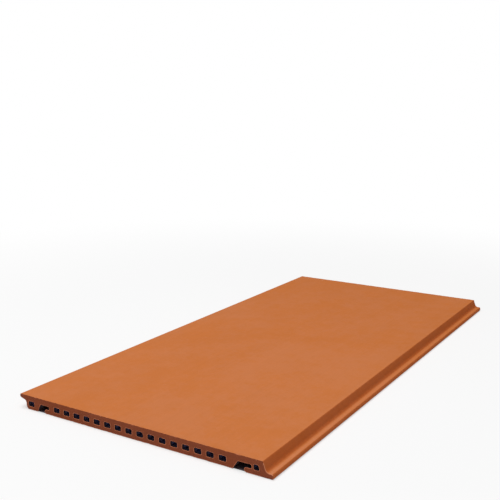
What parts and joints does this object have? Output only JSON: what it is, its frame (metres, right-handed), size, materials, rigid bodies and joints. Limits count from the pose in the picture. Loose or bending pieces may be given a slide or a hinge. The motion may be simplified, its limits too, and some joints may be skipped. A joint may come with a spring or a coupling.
{
  "type": "wall cladding tile",
  "caption": "Flat terracotta wall cladding tile with a hollow extruded section, a drip lip and an upstand on its long edges and undercut hanging grooves in its back.",
  "frame": {"origin": "centre of the tile's back, in the plane that it lies on", "axes": "+Y along the extrusion, +X across the section from the drip lip to the upstand, +Z out of the face; on the wall +X points up"},
  "size_m": [0.4096, 0.846, 0.02],
  "materials": {
    "terracotta": "matte"
  },
  "bodies": {
    "root": {"cladding_tile": "terracotta"}
  },
  "joints": []
}
